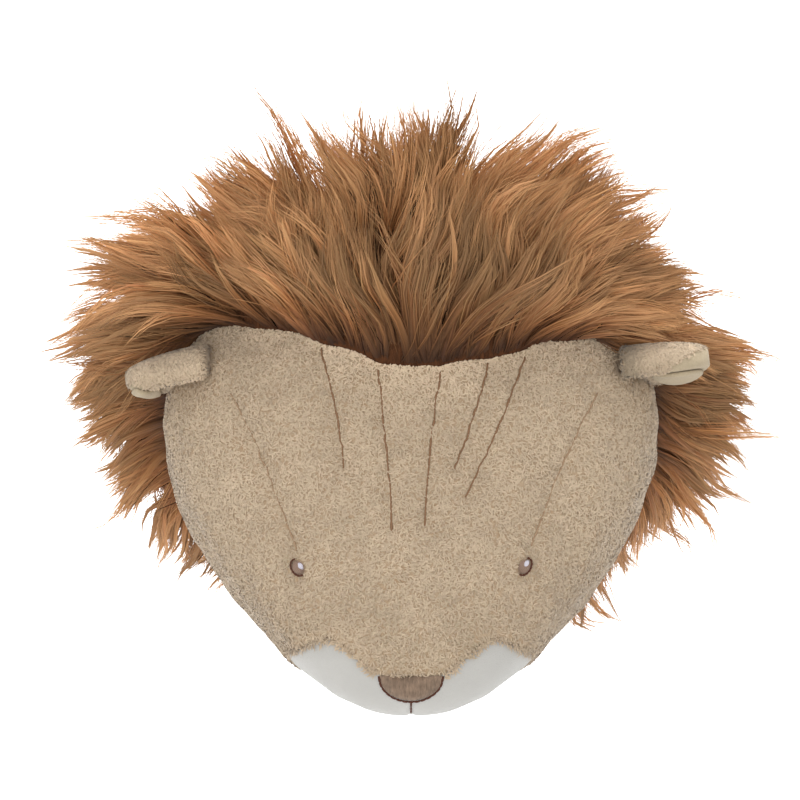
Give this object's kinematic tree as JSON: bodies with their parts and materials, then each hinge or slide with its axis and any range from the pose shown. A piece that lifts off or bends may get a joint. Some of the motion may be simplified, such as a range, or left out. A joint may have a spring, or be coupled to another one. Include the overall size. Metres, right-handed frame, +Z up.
{
  "type": "plush lion head wall decoration",
  "caption": "Stuffed plush lion head that hangs on a wall, with a terry face, soft muzzle, drooping ears and a long-haired fur mane.",
  "frame": {"origin": "on the backing's flat wall face, at the middle of the head between the ears", "axes": "+Y into the wall, -Y the way the face looks, +Z up, +X to the viewer's right"},
  "size_m": [0.3734, 0.2155, 0.3665],
  "materials": {
    "terry": "beige curly terry pile",
    "long_fur": "long caramel brown faux fur",
    "white_plush": "short white velour",
    "nose_velour": "brushed taupe velour",
    "dark_thread": "dark brown embroidery thread",
    "brow_thread": "brown stitching thread",
    "eye_thread": "satin stitched brown thread with a white glint",
    "ear_velour": "cream short velour",
    "backing_felt": "brown felt"
  },
  "bodies": {
    "root": {"back_panel": "backing_felt", "head": "terry", "muzzle": "white_plush", "mane": "long_fur", "nose": "nose_velour", "nose_edging": "dark_thread", "lip_stitch": "dark_thread", "eye_left": "eye_thread", "eye_right": "eye_thread", "ear_left": "terry", "ear_right": "terry", "ear_lining_left": "ear_velour", "ear_lining_right": "ear_velour", "brow_stitch_1": "brow_thread", "brow_stitch_2": "brow_thread", "brow_stitch_3": "brow_thread", "brow_stitch_4": "brow_thread", "brow_stitch_5": "brow_thread", "dart_stitch_left": "brow_thread", "dart_stitch_right": "brow_thread"}
  },
  "joints": []
}
